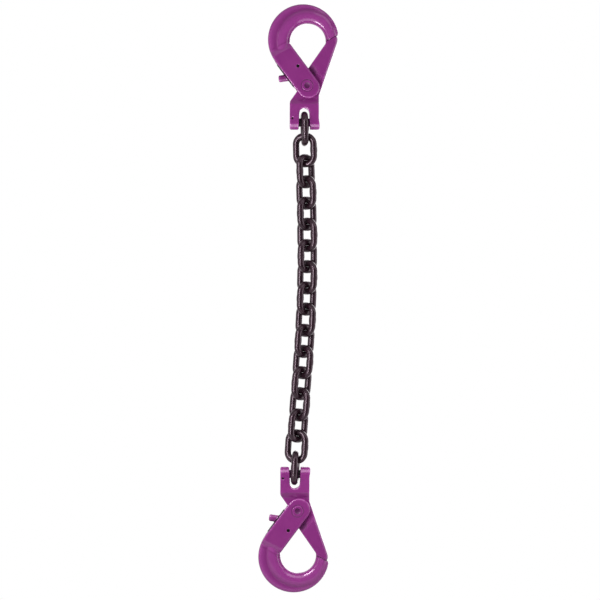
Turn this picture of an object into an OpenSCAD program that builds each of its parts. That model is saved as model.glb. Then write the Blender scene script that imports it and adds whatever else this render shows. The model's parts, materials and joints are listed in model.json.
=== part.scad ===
// Chain sling: a short run of welded chain with a clevis self-locking hook at each end.
// It hangs by the seat of its upper bowl. X points right, Y away from the viewer, Z up.

/* [Chain] */
// Diameter of a link's wire
wire_d = 10; // [9:0.25:10.5]
// Inside length of a link, which is the chain's pitch
link_pitch = 32; // [30:0.5:36]
// Inside width of a link
link_inner_w = 18; // [17:0.5:20]
// Straight stretch at the middle of each crown, where the next link bears
crown_flat = 3; // [2:0.5:4]
// Height of the weld's swelling on one limb
weld_rise = 0.45; // [0.2:0.05:0.8]
// Room between one link's crown and the next
link_gap = 0.3; // [0.2:0.05:0.5]

/* [Hook bowl] */
// Radius of the bowl's opening
eye_r = 26.4; // [24:0.2:28]
// Radius of the bowl's outer edge
bowl_r = 53; // [52:0.5:54]
// Thickness of the rounded bead that carries the load
bead_t = 24; // [20:0.5:26]
// Thickness of the flatter web outside the bead
web_t = 17; // [14:0.5:19]
// Width of the slope from the bead down to the web
bead_slope = 6; // [4:0.5:8]
// Radius of the rounding at the web's outer rim
rim_round = 5; // [3:0.5:6]
// Radius of the tip's outer corner, seen from the front
tip_corner_r = 4; // [2:0.5:5]

/* [Hook shank] */
// Width of the two cheeks, seen from the front
shank_w = 33.6; // [32:0.2:36]
// Thickness over both cheeks
shank_t = 30; // [29:0.5:34]
// Lean of the shank away from the chain's line
shank_tilt = 36.7; // [34:0.1:39]
// Pivot to the end of the cheeks' flat face
shank_l = 62; // [60:0.5:64]
// Length of the ramp from the cheeks down to the bowl
ramp_l = 9; // [7:0.5:10]
// Turn of that ramp out of square with the shank
ramp_skew = 9; // [0:1:12]
// How far the fork's round end is centred beyond the pivot
fork_over = 3; // [2:0.25:3.5]
// Radius of the rounding along the cheeks
cheek_round = 3; // [2:0.25:4]
// Width of the slot between the cheeks
fork_slot = 14; // [13:0.5:16]
// Pivot to the closed end of that slot
fork_slot_l = 59; // [57:0.5:61]

/* [Gate and clevis] */
// Thickness of the gate above its hub
gate_t = 21; // [18:0.5:24]
// Width of the bevel along the gate's back
gate_bevel = 2.8; // [1.5:0.1:3.5]
// Radius of the hub between the cheeks
hub_r = 16.3; // [15.5:0.1:16.5]
// Side play of the hub in the fork slot
hub_play = 0.3; // [0.2:0.05:0.5]
// Gap between the gate's end and the hook's tip
tip_gap = 0.6; // [0.4:0.1:1]
// Width of the clevis over both ears
clevis_w = 43.6; // [42:0.2:48]
// Thickness of the clevis
clevis_t = 22; // [20:0.5:24]
// Radius of the shoulder above the left ear
shoulder_r = 8; // [5:0.5:12]
// Lean of the clevis's left edge above that shoulder
shoulder_lean = 35; // [30:1:40]
// Radius of the ears' corners, seen from the front
ear_corner_r = 2.2; // [1:0.1:3]
// Pivot to the load pin, down the chain's line
clevis_drop = 54.8; // [53:0.2:58]
// Load pin to the closed end of the chain slot
chain_slot_l = 21; // [19.5:0.5:22]
// Room for the link's wire in the chain slot
chain_play = 4.6; // [4:0.2:5.5]
// Flare of each side of the chain slot at its mouth
slot_flare = 1.3; // [0.5:0.1:2]

/* [Pins] */
// Diameter of the pivot pin
pivot_pin_d = 14; // [12:0.5:15]
// Diameter of the pivot pin's peened heads
pivot_head_d = 17.6; // [17:0.2:19]
// Diameter of the dimple in each peened head
dimple_d = 9.2; // [7:0.2:10]
// Diameter of the load pin
load_pin_d = 12.5; // [11:0.5:13]
// Diameter of the trigger's roll pin
trigger_pin_d = 4.6; // [4:0.2:5]
// Diameter of the roll pin that keeps the load pin
keeper_d = 3; // [2.5:0.25:3.5]
// Wall of both roll pins
roll_wall = 0.8; // [0.6:0.1:1]
// Radial clearance of a pin that is fixed in its bore
fixed_clear = 0.03; // [0.02:0.01:0.05]
// Radial clearance of a pin that turns in its bore
turn_clear = 0.08; // [0.05:0.01:0.1]

/* [Trigger] */
// Thickness of the trigger between the cheeks
trigger_t = 12.8; // [12:0.1:13.2]
// Radius of the boss on the trigger pin
boss_r = 7; // [6:0.25:8]
// How far the trigger's back stands out of the cheeks
trigger_proud = 1; // [0.5:0.1:2]
// Diameter of the finger stub
stub_d = 10.4; // [8:0.2:11]
// Length of the finger stub out of the cheeks
stub_l = 13.2; // [11:0.2:16]
// Lean of the stub towards the bowl
stub_lean = 29; // [20:1:35]
// Turn of the trigger for each degree that the gate opens
trigger_ratio = 0.4; // [0.35:0.05:0.5]
// Opening of the gate
gate_open = 32; // [28:1:33]

/* [Spring] */
// Wire of the trigger's torsion spring
spring_wire = 1.2; // [1:0.1:1.4]
// Turns of the spring
spring_turns = 3; // [2:1:3]

/* [Hanging] */
// Mean lean of the chain, in degrees, to the left where negative
sway_mean = -1.3; // [-2:0.1:0]
// Swing of each link's lean about that mean
sway = 3.2; // [0:0.1:5]
// Number of links in one wave of that swing
sway_links = 21; // [18:1:30]
// The whole sling is turned by this about the upper bowl's centre, so that it hangs plumb.
hang_turn = 1.2; // [0:0.1:2]
// Roll of the chain about its length, in its middle
roll_mid = 43; // [35:1:45]

/* [Hidden] */
links = 17;
function two_digits(k) = str(k < 10 ? "0" : "", k);
function link_name(k) = str("chain_link_", two_digits(k));
HOOK_NODES = ["hook_body", "gate_clevis", "pivot_pin", "trigger", "trigger_pin", "trigger_spring",
              "load_pin", "load_pin_keeper"];
$fn = 48;
eps = 0.01;
over = 1;

// Directions in the hook's own XZ plane: along the shank, and square to it on the opening's side
along = [-sin(shank_tilt), cos(shank_tilt)];
across = [cos(shank_tilt), sin(shank_tilt)];
function from_shank(u, v) = along * u + across * v;

// The bowl's opening and its outer edge, which lies just inside the line of the cheeks' backs
back_inset = 0.35;
bowl_u = 58.8;
eye_c = from_shank(52.7, 40.4);
bowl_c = from_shank(bowl_u, bowl_r - shank_w / 2 + back_inset);
bead_r = bead_t / 2;
bead_ring_r = eye_r + bead_r;
seat = eye_c + [0, eye_r];

// The hook's tip ends in a face that rises outwards
tip_angle = 27.9;
tip_dir = [cos(tip_angle), sin(tip_angle)];
tip_normal = [-sin(tip_angle), cos(tip_angle)];
tip_at = [36.4, 70.9];

// The gate's outline, from the hub up its inner edge, over its end and down its back
gate_inner_foot = [-10, 9.3];
gate_inner_knee = [27.2, 62.5];
gate_inner_tip = tip_at - tip_normal * tip_gap - tip_dir * 9.9;
gate_back_tip = tip_at - tip_normal * tip_gap + tip_dir * 7.8;
gate_back_crest = [45.1, 70.6];
gate_back_bulge = [45.3, 67.6];
gate_back_knee = [44.2, 62.6];
gate_back_foot = [17.6, -14.6];
gate_ramp_from = shank_w / 2 + 1.5;
gate_ramp_w = 8.5;
hub_t = fork_slot - 2 * hub_play;

// The clevis hangs below the pivot, a little to its left, so the load keeps the gate shut
clevis_x = gate_back_foot[0] - clevis_w / 2;
chain_slot_w = wire_d + chain_play;
slope_top = -(shank_w / 2 + fork_over + 0.3);
slope_foot = -27.4;
ear_r = clevis_t / 2;
load_pin_r = load_pin_d / 2;
load_pin_l = clevis_w - 3;
keeper_offset = [-17.8, load_pin_r];

// The trigger turns on its pin, and its nose sits in the hub's notch
trigger_at = [31.5, 6.2];
nose_r = 2.4;
nose_room = 0.4;
nose_at = from_shank(14.6, -7.6);
notch_steps = 3;
trigger_c = from_shank(trigger_at[0], trigger_at[1]);
back_line = -shank_w / 2 - trigger_proud;
stub_at = [27.4, -shank_w / 2];

// The pivot pin's heads are peened into countersinks
head_depth = (pivot_head_d - pivot_pin_d) / 2;
head_rise = 0.6;
dimple_depth = 2;

// Where the pieces hang
bend_r = (link_inner_w + wire_d - crown_flat) / 2;
crown_to_crown = link_pitch + wire_d;
pin_to_crown = load_pin_r + link_gap + wire_d / 2;
upper_pivot = [-seat[0], 0, -seat[1]];
upper_load = upper_pivot + [clevis_x, 0, -clevis_drop];

// Each link leans with a slow wave and rolls about its length. The end links lie almost square
// to the load pins, and their neighbours turn step by step to the roll of the middle.
end_rolls = [-5, 21, 38];
tail_rolls = [5, 27];
function lean(k) = sway_mean + sway * cos(360 * (k - 3) / sway_links);
function roll(k) = k <= len(end_rolls) ? end_rolls[k - 1]
    : links + 1 - k <= len(tail_rolls) ? tail_rolls[links - k]
    : roll_mid;
function turn(k) = (k % 2 == 1 ? 90 : 0) + roll(k);
function down(k) = [sin(lean(k)), 0, -cos(lean(k))];
function crown_back(k) = k == 1 ? pin_to_crown : wire_d + link_gap;
function hang_at(k) = k == 1 ? upper_load
    : hang_at(k - 1) + down(k - 1) * (crown_to_crown - crown_back(k - 1));

lower_load = hang_at(links + 1) - down(links) * pin_to_crown;
lower_pivot = lower_load - [clevis_x, 0, clevis_drop];

module purple() color([0.56, 0.2, 0.51]) children();
module steel() color([0.62, 0.6, 0.62]) children();
module black_paint() color([0.16, 0.11, 0.14]) children();

// Turns the sling to where it hangs plumb, about the middle of the upper bowl's opening.
module plumb() {
    translate([0, 0, -eye_r])
        rotate([0, -hang_turn, 0])
            translate([0, 0, eye_r]) children();
}

// Puts children where one of the two hooks is. The lower one is turned over about X.
module place(end) {
    plumb()
        if (end == "upper") translate(upper_pivot) children();
        else translate(lower_pivot) rotate([180, 0, 0]) children();
}

// A slab of this thickness, with the outline drawn in X and Z
module slab(t) {
    rotate([90, 0, 0])
        linear_extrude(t, center = true) children();
}

// A round bar along Y
module bar_y(r, l) {
    rotate([90, 0, 0])
        cylinder(r = r, h = l, center = true);
}

// Turns children so that Z runs up the shank and X to the opening's side
module in_shank() {
    rotate([0, -shank_tilt, 0]) children();
}

// Turns a profile, drawn as radius and depth, about a Y axis through c
module turned(c) {
    translate([c[0], 0, c[1]])
        rotate([90, 0, 0])
            rotate_extrude() children();
}

// A rectangle with round corners, centred
module round_rect(w, t, r) {
    square([w - 2 * r, t], center = true);
    square([w, t - 2 * r], center = true);
    for (sx = [-1, 1])
        for (sy = [-1, 1])
            translate([sx * (w / 2 - r), sy * (t / 2 - r)])
                circle(r);
}

// The right half of that rectangle, for turning
module half_round_rect(w, t, r) {
    intersection() {
        round_rect(w, t, r);
        translate([0, -t / 2])
            square([w / 2, t]);
    }
}

// The load-bearing bead: full round inside, sloping outside down to the web
module bead_profile() {
    translate([bead_ring_r, 0])
        circle(bead_r);
    polygon([
        [bead_ring_r, -bead_r],
        [bead_ring_r + bead_slope, -web_t / 2 + eps],
        [bead_ring_r + bead_slope, web_t / 2 - eps],
        [bead_ring_r, bead_r],
    ]);
}

// Rounds the bead over where its edge and the bowl's outer edge run close together
module rim_envelope() {
    reach = bowl_r - bead_r - 0.3;
    translate([0, -bead_t / 2])
        square([reach, bead_t]);
    translate([reach, 0])
        circle(bead_r);
}

// Everything below the tip's face and on the opening's side of the shank
module mouth_outline() {
    far = 130;
    kink = from_shank(65, shank_w / 2 - over);
    foot = from_shank(-20, shank_w / 2 - over);
    polygon([
        kink, eye_c, tip_at - tip_dir * 10, tip_at + tip_dir * far, [far, -far], foot,
    ]);
}

// What the rounding takes off the tip's outer corner
module tip_corner_outline() {
    w = tip_at + tip_normal * tip_corner_r - bowl_c;
    b = w * tip_dir;
    s = sqrt(b * b - w * w + pow(bowl_r - tip_corner_r, 2)) - b;
    foot = tip_at + tip_dir * s;
    c = foot + tip_normal * tip_corner_r;
    out = (c - bowl_c) / norm(c - bowl_c);
    difference() {
        polygon([
            c, foot, foot - tip_normal * over, foot - tip_normal * over + tip_dir * 12,
            c + out * 12,
        ]);
        translate(c)
            circle(tip_corner_r);
    }
}

module bowl() {
    difference() {
        union() {
            difference() {
                turned(bowl_c) half_round_rect(2 * bowl_r, web_t, rim_round);
                translate([eye_c[0], 0, eye_c[1]])
                    bar_y(bead_ring_r - over, 2 * bead_t);
            }
            intersection() {
                turned(eye_c) bead_profile();
                turned(bowl_c) rim_envelope();
            }
        }
        slab(2 * bead_t) mouth_outline();
        slab(2 * bead_t) tip_corner_outline();
    }
}

// Two wedges that thin the shank's end down to the bowl
module ramp_cut() {
    low = web_t / 2 - 2;
    far = 20;
    for (side = [-1, 1])
        translate([0, 0, shank_l])
            rotate([0, ramp_skew, 0])
                translate([-shank_w, 0, 0])
                    rotate([90, 0, 90])
                        linear_extrude(2 * shank_w)
                            polygon([
                                [side * shank_t / 2, 0], [side * low, ramp_l],
                                [side * low, far], [side * shank_t, far], [side * shank_t, 0],
                            ]);
}

// What of the shank's back corner would stand out of the bowl's round edge
module back_corner_cut() {
    difference() {
        translate([-shank_w, -shank_t, bowl_u])
            cube([shank_w, 2 * shank_t, shank_w]);
        translate([bowl_r - shank_w / 2 + back_inset, 0, bowl_u])
            bar_y(bowl_r - eps, 3 * shank_t);
    }
}

// The forked shank in its own frame, before its bores
module shank() {
    difference() {
        union() {
            translate([0, 0, -fork_over])
                linear_extrude(fork_over + shank_l + ramp_l)
                    round_rect(shank_w, shank_t, cheek_round);
            translate([0, 0, -fork_over])
                rotate([-90, 0, 0])
                    rotate_extrude(angle = 180)
                        half_round_rect(shank_w, shank_t, cheek_round);
        }
        ramp_cut();
        back_corner_cut();
    }
}

module hook_body() {
    difference() {
        union() {
            bowl();
            in_shank() shank();
        }
        in_shank() {
            translate([-shank_w, -fork_slot / 2, -shank_w])
                cube([2 * shank_w, fork_slot, shank_w + fork_slot_l]);
            translate([trigger_at[1], 0, trigger_at[0]])
                bar_y(trigger_pin_d / 2 + fixed_clear, shank_t + over);
        }
        bar_y(pivot_pin_d / 2 + fixed_clear, shank_t + over);
        for (side = [0, 180])
            rotate([90, 0, side])
                translate([0, 0, shank_t / 2 - head_depth])
                    cylinder(r1 = pivot_pin_d / 2 + fixed_clear,
                             r2 = pivot_head_d / 2 + fixed_clear + eps, h = head_depth + eps);
    }
}

module pivot_pin() {
    l = shank_t - 2 * head_depth;
    dimple_r = (pow(dimple_d / 2, 2) + pow(dimple_depth, 2)) / (2 * dimple_depth);
    difference() {
        union() {
            bar_y(pivot_pin_d / 2, l);
            for (side = [0, 180])
                rotate([90, 0, side])
                    translate([0, 0, l / 2])
                        rotate_extrude()
                            polygon([
                                [0, 0], [pivot_pin_d / 2, 0], [pivot_head_d / 2, head_depth],
                                [pivot_head_d / 2 - 1, head_depth + head_rise],
                                [0, head_depth + head_rise],
                            ]);
        }
        for (side = [-1, 1])
            translate([0, side * (shank_t / 2 + head_rise + dimple_r - dimple_depth), 0])
                sphere(dimple_r);
    }
}

// A slit tube, along Y
module roll_pin(d, l) {
    slit = 30;
    rotate([90, 0, 0])
        translate([0, 0, -l / 2])
            rotate([0, 0, slit / 2])
                rotate_extrude(angle = 360 - slit)
                    translate([d / 2 - roll_wall, 0])
                        square([roll_wall, l]);
}

module trigger_pin() {
    sink = 1;
    translate([trigger_c[0], 0, trigger_c[1]])
        rotate([0, 150, 0])
            roll_pin(trigger_pin_d, shank_t - 2 * sink);
}

// The nose's centre, as the hub sees it, once the gate has opened by some degrees
function turned_by(p, a) = [p[0] * cos(a) + p[1] * sin(a), p[1] * cos(a) - p[0] * sin(a)];
function nose_in_hub(open) =
    turned_by(trigger_c + turned_by(nose_at - trigger_c, trigger_ratio * open), -open);

module notch_outline() {
    for (n = [0:notch_steps - 1])
        hull()
            for (m = [n, n + 1])
                translate(nose_in_hub(gate_open * m / notch_steps))
                    circle(nose_r + nose_room, $fn = 32);
}

module gate_outline() {
    polygon([
        gate_inner_foot, gate_inner_knee, gate_inner_tip, gate_back_tip, gate_back_crest,
        gate_back_bulge, gate_back_knee, gate_back_foot, gate_back_foot - [0, 5],
        [5, gate_back_foot[1] - 5], [0, 0],
    ]);
}

// Side profile of the gate's thick part, which rises out of the thin one on a ramp
module gate_thickness() {
    far = 120;
    deep = 1;
    rise = (gate_t - hub_t) / 2;
    low = hub_t / 2 - deep;
    from = gate_ramp_from - gate_ramp_w * deep / rise;
    in_shank()
        translate([0, 0, -far])
            linear_extrude(2 * far)
                polygon([
                    [from, -low], [gate_ramp_from + gate_ramp_w, -gate_t / 2], [far, -gate_t / 2],
                    [far, gate_t / 2], [gate_ramp_from + gate_ramp_w, gate_t / 2], [from, low],
                ]);
}

// Bevels the gate's two edges along its back, from p to q
module back_bevel(p, q) {
    run = q - p;
    for (side = [-1, 1])
        translate([p[0], 0, p[1]])
            rotate([0, atan2(run[0], run[1]), 0])
                linear_extrude(norm(run) + over)
                    polygon([
                        [-gate_bevel - over, side * (gate_t / 2 + over)],
                        [2 * over, side * (gate_t / 2 + over)],
                        [2 * over, side * (gate_t / 2 - gate_bevel - 2 * over)],
                    ]);
}

module clevis_outline() {
    left = clevis_x - clevis_w / 2;
    right = clevis_x + clevis_w / 2;
    foot = -clevis_drop - ear_r;
    top = slope_foot + 1;
    flare = 1.2;
    h = -2 - top;
    bend = shoulder_r * (1 - cos(shoulder_lean));
    lean_in = bend + (h - shoulder_r * sin(shoulder_lean)) * tan(shoulder_lean);
    translate([left + shoulder_r, top])
        circle(shoulder_r);
    polygon([
        [left, top], [left + bend, top + shoulder_r * sin(shoulder_lean)], [left + lean_in, -2],
        [right - 8, -2], [right, gate_back_foot[1] - 4], [right, -clevis_drop + 5],
        [right + flare, -clevis_drop - 3], [right + flare, foot + ear_corner_r],
        [right + flare - ear_corner_r, foot], [left + ear_corner_r, foot],
        [left, foot + ear_corner_r],
    ]);
    for (x = [left + ear_corner_r, right + flare - ear_corner_r])
        translate([x, foot + ear_corner_r])
            circle(ear_corner_r);
}

// Side profile of the clevis's thick part: a slope out of the thin one, down to the round ends
module clevis_thickness() {
    deep = 1;
    rise = (clevis_t - hub_t) / 2;
    low = hub_t / 2 - deep;
    from = slope_top + (slope_top - slope_foot) * deep / rise;
    translate([-clevis_w, 0, 0])
        rotate([90, 0, 90])
            linear_extrude(2 * clevis_w) {
                polygon([
                    [-low, from], [-clevis_t / 2, slope_foot], [-clevis_t / 2, -clevis_drop],
                    [clevis_t / 2, -clevis_drop], [clevis_t / 2, slope_foot], [low, from],
                ]);
                translate([0, -clevis_drop])
                    circle(ear_r);
            }
}

module chain_slot_outline() {
    r = chain_slot_w / 2;
    top = -clevis_drop + chain_slot_l - r;
    foot = -clevis_drop - ear_r - over;
    translate([clevis_x, top])
        circle(r);
    polygon([
        [clevis_x - r, top], [clevis_x - r - slot_flare, foot],
        [clevis_x + r + slot_flare, foot], [clevis_x + r, top],
    ]);
}

module gate_clevis() {
    difference() {
        union() {
            slab(hub_t) {
                circle(hub_r);
                gate_outline();
                intersection() {
                    clevis_outline();
                    translate([-clevis_w, slope_foot - over])
                        square([2 * clevis_w, clevis_w]);
                }
            }
            difference() {
                intersection() {
                    slab(gate_t + over) gate_outline();
                    gate_thickness();
                }
                back_bevel(gate_back_foot, gate_back_knee);
                back_bevel(gate_back_knee, gate_back_bulge);
                back_bevel(gate_back_bulge, gate_back_crest);
                back_bevel(gate_back_crest, gate_back_tip);
            }
            intersection() {
                slab(clevis_t + over) clevis_outline();
                clevis_thickness();
            }
        }
        slab(clevis_t + 2 * over) chain_slot_outline();
        slab(hub_t + 2 * over) notch_outline();
        bar_y(pivot_pin_d / 2 + turn_clear, hub_t + over);
        translate([clevis_x, 0, -clevis_drop])
            rotate([0, 90, 0])
                cylinder(r = load_pin_r + fixed_clear, h = clevis_w + over, center = true);
        translate([clevis_x + keeper_offset[0], 0, keeper_offset[1] - clevis_drop])
            bar_y(keeper_d / 2 + fixed_clear, clevis_t + over);
    }
}

// The load pin, with the groove that its keeper lies in and a bevel at each end
module load_pin() {
    bevel = 1;
    h = load_pin_l / 2;
    groove_r = keeper_d / 2 + 2 * fixed_clear;
    translate([clevis_x, 0, -clevis_drop])
        difference() {
            rotate([0, 90, 0])
                rotate_extrude()
                    polygon([
                        [0, -h], [load_pin_r - bevel, -h], [load_pin_r, bevel - h],
                        [load_pin_r, h - bevel], [load_pin_r - bevel, h], [0, h],
                    ]);
            translate([keeper_offset[0], 0, keeper_offset[1]])
                bar_y(groove_r, 2 * load_pin_d);
        }
}

module load_pin_keeper() {
    sink = 0.8;
    translate([clevis_x + keeper_offset[0], 0, keeper_offset[1] - clevis_drop])
        rotate([0, 60, 0])
            roll_pin(keeper_d, clevis_t - 2 * sink);
}

// The trigger's outline in the shank's frame, as across and along: boss, back, nose and arm
module trigger_outline() {
    far = 52;
    near = 10.5;
    nose = [nose_at * across, nose_at * along];
    translate([trigger_at[1], trigger_at[0]])
        circle(boss_r);
    polygon([
        [back_line, far], [back_line, near], [back_line + 2.4, near + 0.6],
        nose - [1.6, nose_r - 0.6], nose + [nose_r - 0.6, 1.4],
        [trigger_at[1] + 2, trigger_at[0] - boss_r + 0.6],
        [trigger_at[1] + 1, trigger_at[0] + boss_r - 0.4], [back_line + 7, far],
    ]);
    translate(nose)
        circle(nose_r);
}

module trigger() {
    pocket_t = spring_wire * (spring_turns + 1) + 1;
    difference() {
        in_shank() {
            rotate([90, 0, 0])
                linear_extrude(trigger_t, center = true) trigger_outline();
            translate([stub_at[1], 0, stub_at[0]])
                rotate([0, stub_lean - 90, 0])
                    finger_stub();
        }
        in_shank()
            translate([trigger_at[1], 0, trigger_at[0]]) {
                bar_y(trigger_pin_d / 2 + turn_clear, trigger_t + over);
                translate([0, -trigger_t / 2 + pocket_t / 2 - over / 2, 0])
                    bar_y(boss_r + 1.6, pocket_t + over);
            }
    }
}

// The round peg that the finger moves, with a domed end
module finger_stub() {
    dome = 1.5;
    rotate_extrude()
        polygon([
            [0, -8], [stub_d / 2, -8], [stub_d / 2, stub_l - dome],
            [stub_d / 2 - dome, stub_l - 0.3], [0, stub_l],
        ]);
}

// The spring's wire: wound round the trigger pin, with a straight leg at each end
function wire_ring(a, slide) =
    let (r = trigger_pin_d / 2 + 0.5 + spring_wire / 2, w = spring_wire / 2, sides = 8)
        [for (m = [0:sides - 1]) let (b = 360 * m / sides, o = r + w * cos(b))
            [o * cos(a), (spring_wire + 0.12) * a / 360 + w * sin(b), o * sin(a) + slide]];

module coil() {
    step = 18;
    leg = 5;
    rings = concat(
        [wire_ring(0, -leg)],
        [for (a = [0:step:360 * spring_turns]) wire_ring(a, 0)],
        [wire_ring(360 * spring_turns, leg)]
    );
    sides = len(rings[0]);
    last = (len(rings) - 1) * sides;
    points = [for (ring = rings) for (p = ring) p];
    around = [for (n = [0:sides:last - 1]) for (m = [0:sides - 1]) let (q = (m + 1) % sides)
        [n + m, n + sides + m, n + sides + q, n + q]];
    ends = [[for (m = [0:sides - 1]) m], [for (m = [sides - 1:-1:0]) last + m]];
    polyhedron(points, concat(around, ends));
}

module trigger_spring() {
    low = -trigger_t / 2 + spring_wire / 2 + 0.2;
    in_shank()
        translate([trigger_at[1], low, trigger_at[0]])
            coil();
}

// One link, hanging from the middle of its upper crown's centre line
module link_solid() {
    x = bend_r + crown_flat / 2;
    limb = crown_to_crown - 2 * bend_r;
    weld_r = 12;
    for (side = [-1, 1])
        translate([side * x, 0, -bend_r - limb])
            cylinder(d = wire_d, h = limb);
    for (z = [0, -crown_to_crown])
        translate([0, 0, z])
            rotate([0, 90, 0])
                cylinder(d = wire_d, h = crown_flat, center = true);
    for (end = [0, 1])
        for (side = [0, 1])
            translate([0, 0, -crown_to_crown / 2])
                mirror([side, 0, 0])
                    mirror([0, 0, end])
                        translate([crown_flat / 2, 0, crown_to_crown / 2 - bend_r])
                            rotate([90, 0, 0])
                                rotate_extrude(angle = 90)
                                    translate([bend_r, 0])
                                        circle(d = wire_d);
    translate([x, 0, -crown_to_crown / 2])
        rotate_extrude()
            intersection() {
                translate([wire_d / 2 + weld_rise - weld_r, 0])
                    circle(weld_r);
                translate([0, -wire_d / 2])
                    square(wire_d);
            }
}

module chain_link(k) {
    black_paint() plumb()
        translate(hang_at(k) - down(k) * crown_back(k))
            rotate([0, -lean(k), 0])
                rotate([0, 0, -turn(k)])
                    link_solid();
}

purple() place("upper") hook_body();  // upper_hook_body
purple() place("upper") gate_clevis();  // upper_gate_clevis
purple() place("upper") pivot_pin();  // upper_pivot_pin
purple() place("upper") trigger();  // upper_trigger
steel() place("upper") trigger_pin();  // upper_trigger_pin
steel() place("upper") trigger_spring();  // upper_trigger_spring
steel() place("upper") load_pin();  // upper_load_pin
steel() place("upper") load_pin_keeper();  // upper_load_pin_keeper
purple() place("lower") hook_body();  // lower_hook_body
purple() place("lower") gate_clevis();  // lower_gate_clevis
purple() place("lower") pivot_pin();  // lower_pivot_pin
purple() place("lower") trigger();  // lower_trigger
steel() place("lower") trigger_pin();  // lower_trigger_pin
steel() place("lower") trigger_spring();  // lower_trigger_spring
steel() place("lower") load_pin();  // lower_load_pin
steel() place("lower") load_pin_keeper();  // lower_load_pin_keeper
for (k = [1:links])
    chain_link(k);
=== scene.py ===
# %% [markdown]
# # Dressing a chain sling
# A chain sling is two forged hooks with a length of welded chain between them. The CAD frame already has every piece
# at its true size and place, so this lesson is about the surface: the soft corners of a forging, the swelling of a
# weld, powder coat and dipped lacquer. First the frame is loaded and its box is kept, because nothing that is added
# may make the sling bigger.
# %% Load the frame
import json
import bmesh
import bpy
import mathutils
import numpy as np
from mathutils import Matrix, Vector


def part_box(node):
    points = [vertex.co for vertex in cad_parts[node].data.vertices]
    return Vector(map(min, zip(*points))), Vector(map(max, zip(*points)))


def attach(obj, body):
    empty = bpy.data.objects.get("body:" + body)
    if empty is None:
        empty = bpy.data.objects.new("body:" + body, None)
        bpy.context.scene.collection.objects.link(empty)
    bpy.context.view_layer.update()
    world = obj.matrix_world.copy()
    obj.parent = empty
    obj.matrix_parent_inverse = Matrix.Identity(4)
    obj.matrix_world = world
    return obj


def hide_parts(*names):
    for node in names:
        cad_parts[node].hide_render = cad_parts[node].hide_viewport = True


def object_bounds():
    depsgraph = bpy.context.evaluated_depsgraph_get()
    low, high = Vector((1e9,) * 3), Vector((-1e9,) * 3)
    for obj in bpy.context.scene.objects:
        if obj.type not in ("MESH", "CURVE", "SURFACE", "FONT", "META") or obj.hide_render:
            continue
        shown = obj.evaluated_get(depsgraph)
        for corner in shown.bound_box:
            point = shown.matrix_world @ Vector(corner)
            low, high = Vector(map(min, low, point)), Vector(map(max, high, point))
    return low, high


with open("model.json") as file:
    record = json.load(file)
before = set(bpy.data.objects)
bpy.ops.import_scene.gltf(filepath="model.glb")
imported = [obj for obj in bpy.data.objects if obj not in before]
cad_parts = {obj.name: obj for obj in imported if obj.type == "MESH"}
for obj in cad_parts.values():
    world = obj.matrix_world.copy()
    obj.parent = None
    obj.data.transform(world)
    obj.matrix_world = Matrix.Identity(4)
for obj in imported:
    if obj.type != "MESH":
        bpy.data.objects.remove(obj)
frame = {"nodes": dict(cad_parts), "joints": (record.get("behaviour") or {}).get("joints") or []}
cad_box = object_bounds()
print("CAD box, m:", [[round(v, 4) for v in corner] for corner in cad_box])

# %% [markdown]
# ## Putting points into a mesh
# Every new surface below is worked out as whole numpy arrays, so one small helper puts points and faces into a mesh
# and shades it smooth. Values for single points, such as how near a weld they are, go in as attributes, which the
# materials read later.
# %% Mesh helper
mm = 0.001


def add_mesh(name, points, faces, **point_values):
    """A smooth-shaded object from an array of points and an array of faces; each extra array is one value a point."""
    mesh = bpy.data.meshes.new(name)
    mesh.from_pydata(points, [], faces.tolist())
    mesh.polygons.foreach_set("use_smooth", np.ones(len(mesh.polygons), bool))
    for key, values in point_values.items():
        mesh.attributes.new(key, "FLOAT", "POINT").data.foreach_set("value", np.asarray(values, np.float32).ravel())
    mesh.update()
    piece = bpy.data.objects.new(name, mesh)
    bpy.context.scene.collection.objects.link(piece)
    return piece


def grid_faces(rows, columns, closed_rows=True):
    """The four-sided faces of a grid of points. Columns always close on themselves, rows only if asked to."""
    r, c = np.meshgrid(np.arange(rows if closed_rows else rows - 1), np.arange(columns), indexing="ij")
    r2, c2 = (r + 1) % rows, (c + 1) % columns
    corner = [r * columns + c, r * columns + c2, r2 * columns + c2, r2 * columns + c]
    return np.stack([k.ravel() for k in corner], 1)


def node_points(name):
    """All the points of a CAD node, as one array in metres."""
    mesh = frame["nodes"][name].data
    points = np.empty(len(mesh.vertices) * 3, np.float32)
    mesh.vertices.foreach_get("co", points)
    return points.reshape(-1, 3).astype(float)

# %% [markdown]
# ## Where a link lies
# A link hangs at its own angle, turned about the chain's line, and the next one lies across it. The frame gives the
# line itself: the joints at a link's two ends are where its neighbours bear. What is left is the turn, and that is
# found as a person with callipers would find it: close them on the link, turn them about the line, and the way in
# which they close furthest is the link's flat side. The long and the wide side are then read off with the same jaws.
# %% Measure the links with callipers
LINKS = sorted(n for n in frame["nodes"] if n.startswith("chain_link_"))
ANCHORS = {j["child"]: np.array(j["pos_m"], float) for j in frame["joints"]}
WELD_REACH = 3 * mm  # the weld swells the limb within this length of its middle


def jaws(points, direction):
    """The lowest and highest reach of the points along a direction, and the middle between them."""
    reach = points @ direction
    return reach.min(), reach.max(), (reach.min() + reach.max()) / 2


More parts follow.
